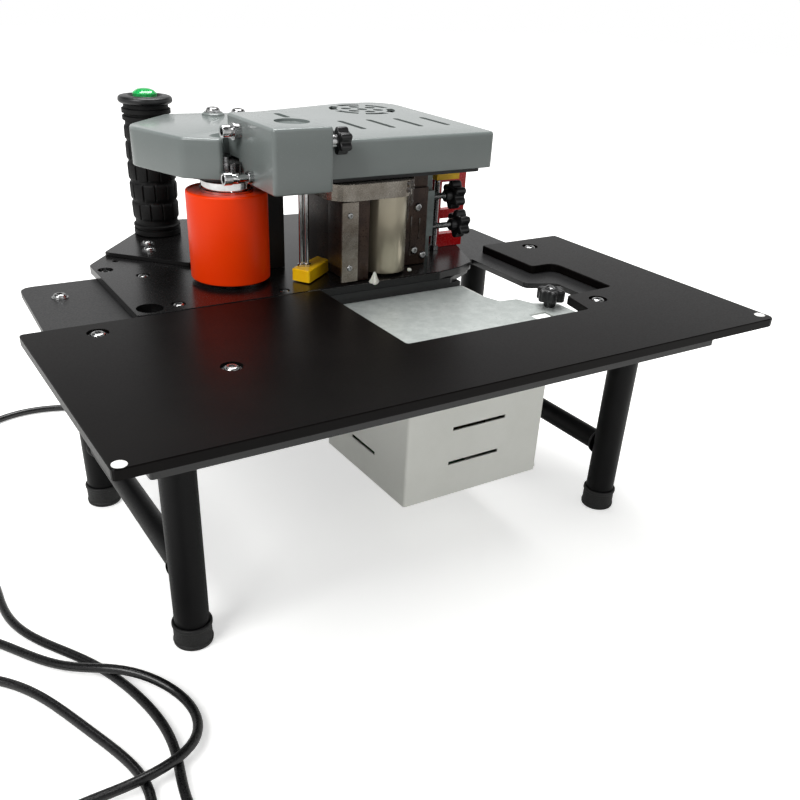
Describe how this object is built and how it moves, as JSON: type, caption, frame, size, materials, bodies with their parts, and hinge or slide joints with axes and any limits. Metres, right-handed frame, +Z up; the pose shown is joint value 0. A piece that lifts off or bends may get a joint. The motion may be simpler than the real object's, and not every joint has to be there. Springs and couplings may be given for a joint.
{
  "type": "edge banding machine",
  "caption": "Bench-top edge banding machine: black table on legs, orange press roller, glue roller and pot under grey covers, grip with start button, control box and mains lead.",
  "frame": {"origin": "centre of the footprint, on the surface that the feet stand on, without the mains lead", "axes": "+Z up; +X along the table front edge, to the right of a person who stands at it; +Y from that edge towards the handle"},
  "size_m": [0.6546, 0.7024, 0.3254],
  "materials": {
    "black_laminate": "satin",
    "black_painted_steel": "satin",
    "black_anodised_aluminium": "satin",
    "black_powder_coat": "satin powder coat",
    "black_rubber": "matte",
    "grip_rubber": "matte",
    "galvanised_steel": "zinc",
    "grey_powder_coat": "satin powder coat",
    "circuit_board": "solder mask",
    "transformer_steel": "varnished",
    "red_plastic": "gloss",
    "black_plastic": "moulded",
    "cord_sheath": "satin PVC",
    "green_button": "gloss",
    "chromed_steel": "turned",
    "orange_silicone": "satin",
    "gear_steel": "machined",
    "turned_steel": "turned, glue stained",
    "glue_stained_steel": "glue stained",
    "motor_steel": "satin",
    "bright_steel": "bright",
    "fan_nylon": "moulded",
    "grey_enamel": "fine hammered enamel",
    "adjuster_grey": "satin",
    "yellow_plastic": "moulded",
    "red_enamel": "gloss enamel"
  },
  "bodies": {
    "frame": {"adjuster_bracket": "adjuster_grey", "bridge_plate": "black_anodised_aluminium", "button_bezel": "black_plastic", "cable_gland": "black_plastic", "circuit_board": "circuit_board", "control_box": "grey_powder_coat", "cord_coil": "cord_sheath", "cord_tube": "cord_sheath", "cutter_housing": "grey_enamel", "foot_cap_back_left": "black_rubber", "foot_cap_back_right": "black_rubber", "foot_cap_front_left": "black_rubber", "foot_cap_front_right": "black_rubber", "glue_pot": "glue_stained_steel", "handle_core": "black_plastic", "handle_grip": "grip_rubber", "handle_plate": "black_painted_steel", "left_cover": "grey_enamel", "leg_back_left": "black_powder_coat", "leg_back_right": "black_powder_coat", "leg_front_left": "black_powder_coat", "leg_front_right": "black_powder_coat", "lower_plate": "black_painted_steel", "machine_base_plate": "black_anodised_aluminium", "main_gear_cover": "grey_enamel", "motor": "motor_steel", "plug": "cord_sheath", "pot_lid": "turned_steel", "side_bar_left": "black_powder_coat", "side_bar_right": "black_powder_coat", "spacer_frame": "black_painted_steel", "support_column": "black_anodised_aluminium", "support_post": "bright_steel", "table_board": "black_laminate", "tape_guide": "red_enamel", "tape_rail": "yellow_plastic", "transformer": "transformer_steel", "tray": "galvanised_steel"},
    "press_roller": {"roller_core": "chromed_steel", "roller_tyre": "orange_silicone", "roller_gear": "gear_steel"},
    "glue_roller": {"glue_roller": "turned_steel", "glue_gear": "gear_steel"},
    "motor_rotor": {"motor_pinion": "gear_steel", "cooling_fan": "fan_nylon"},
    "main_idler": {"main_idler_gear": "gear_steel"},
    "transfer_idler": {"transfer_gear": "gear_steel"},
    "roller_idler": {"roller_idler_gear": "gear_steel"},
    "start_button": {"start_button": "green_button"},
    "rocker_switch": {"rocker_switch": "red_plastic"},
    "speed_knob": {"speed_knob": "black_plastic"},
    "tray_knob": {"tray_knob": "black_plastic"},
    "upper_star_knob": {"upper_star_knob": "black_plastic"},
    "lower_star_knob": {"lower_star_knob": "black_plastic"},
    "housing_star_knob": {"housing_star_knob": "black_plastic"},
    "upper_hex_screw": {"upper_hex_screw": "bright_steel"},
    "lower_hex_screw": {"lower_hex_screw": "bright_steel"},
    "cutter": {"cutter_block": "yellow_plastic", "cutter_rod": "bright_steel", "cutter_pivot": "bright_steel"}
  },
  "joints": [
    {"name": "glue_roller_spin", "type": "hinge", "parent": "frame", "child": "glue_roller", "pos_m": [0.0398, 0.0083, 0.2895], "axis": [0, 0, 1], "continuous": true},
    {"name": "press_roller_spin", "type": "hinge", "parent": "frame", "child": "press_roller", "pos_m": [-0.0851, 0.0377, 0.2895], "axis": [0, 0, 1], "continuous": true},
    {"name": "motor_spin", "type": "hinge", "parent": "frame", "child": "motor_rotor", "pos_m": [0.084, 0.1235, 0.2895], "axis": [0, 0, 1], "continuous": true},
    {"name": "main_idler_spin", "type": "hinge", "parent": "frame", "child": "main_idler", "pos_m": [0.07214, 0.06468, 0.2895], "axis": [0, 0, 1], "continuous": true},
    {"name": "transfer_idler_spin", "type": "hinge", "parent": "frame", "child": "transfer_idler", "pos_m": [-0.00338, 0.08007, 0.2895], "axis": [0, 0, 1], "continuous": true},
    {"name": "roller_idler_spin", "type": "hinge", "parent": "frame", "child": "roller_idler", "pos_m": [-0.06911, 0.09345, 0.2895], "axis": [0, 0, 1], "continuous": true},
    {"name": "start_button_press", "type": "slide", "parent": "frame", "child": "start_button", "axis": [0, 0, -1], "range_m": [0, 0.003], "stiffness_N_per_m": 400, "springref_m": -0.001},
    {"name": "rocker_switch_tilt", "type": "hinge", "parent": "frame", "child": "rocker_switch", "pos_m": [0.1125, -0.0355, 0.15], "axis": [0, 1, 0], "range_deg": [0, 14]},
    {"name": "speed_knob_turn", "type": "hinge", "parent": "frame", "child": "speed_knob", "pos_m": [0.1125, -0.0985, 0.15], "axis": [1, 0, 0], "range_deg": [0, 270]},
    {"name": "tray_knob_turn", "type": "hinge", "parent": "frame", "child": "tray_knob", "pos_m": [0.144, -0.0905, 0.1915], "axis": [0, 0, 1], "range_deg": [0, 180]},
    {"name": "upper_star_knob_turn", "type": "hinge", "parent": "frame", "child": "upper_star_knob", "pos_m": [0.114, 0.0215, 0.2554], "axis": [1, 0, 0], "range_deg": [-360, 360]},
    {"name": "lower_star_knob_turn", "type": "hinge", "parent": "frame", "child": "lower_star_knob", "pos_m": [0.1215, 0.0215, 0.23], "axis": [1, 0, 0], "range_deg": [-360, 360]},
    {"name": "housing_star_knob_turn", "type": "hinge", "parent": "frame", "child": "housing_star_knob", "pos_m": [-0.0245, -0.0245, 0.313], "axis": [1, 0, 0], "range_deg": [-360, 360]},
    {"name": "upper_hex_screw_turn", "type": "hinge", "parent": "frame", "child": "upper_hex_screw", "pos_m": [-0.0915, 0.022, 0.315], "axis": [1, 0, 0], "range_deg": [-360, 360]},
    {"name": "lower_hex_screw_turn", "type": "hinge", "parent": "frame", "child": "lower_hex_screw", "pos_m": [-0.0975, 0.0025, 0.2865], "axis": [1, 0, 0], "range_deg": [-360, 360]},
    {"name": "cutter_swing", "type": "hinge", "parent": "frame", "child": "cutter", "pos_m": [-0.0336, 0.0151, 0.212], "axis": [0, 0, 1], "range_deg": [0, 8]}
  ],
  "couplings": [
    {"joint": "press_roller_spin", "follows": "glue_roller_spin", "ratio": 0.85714},
    {"joint": "motor_spin", "follows": "glue_roller_spin", "ratio": 1.3846},
    {"joint": "main_idler_spin", "follows": "glue_roller_spin", "ratio": -0.38298},
    {"joint": "transfer_idler_spin", "follows": "glue_roller_spin", "ratio": 0.6},
    {"joint": "roller_idler_spin", "follows": "glue_roller_spin", "ratio": -0.48649}
  ]
}
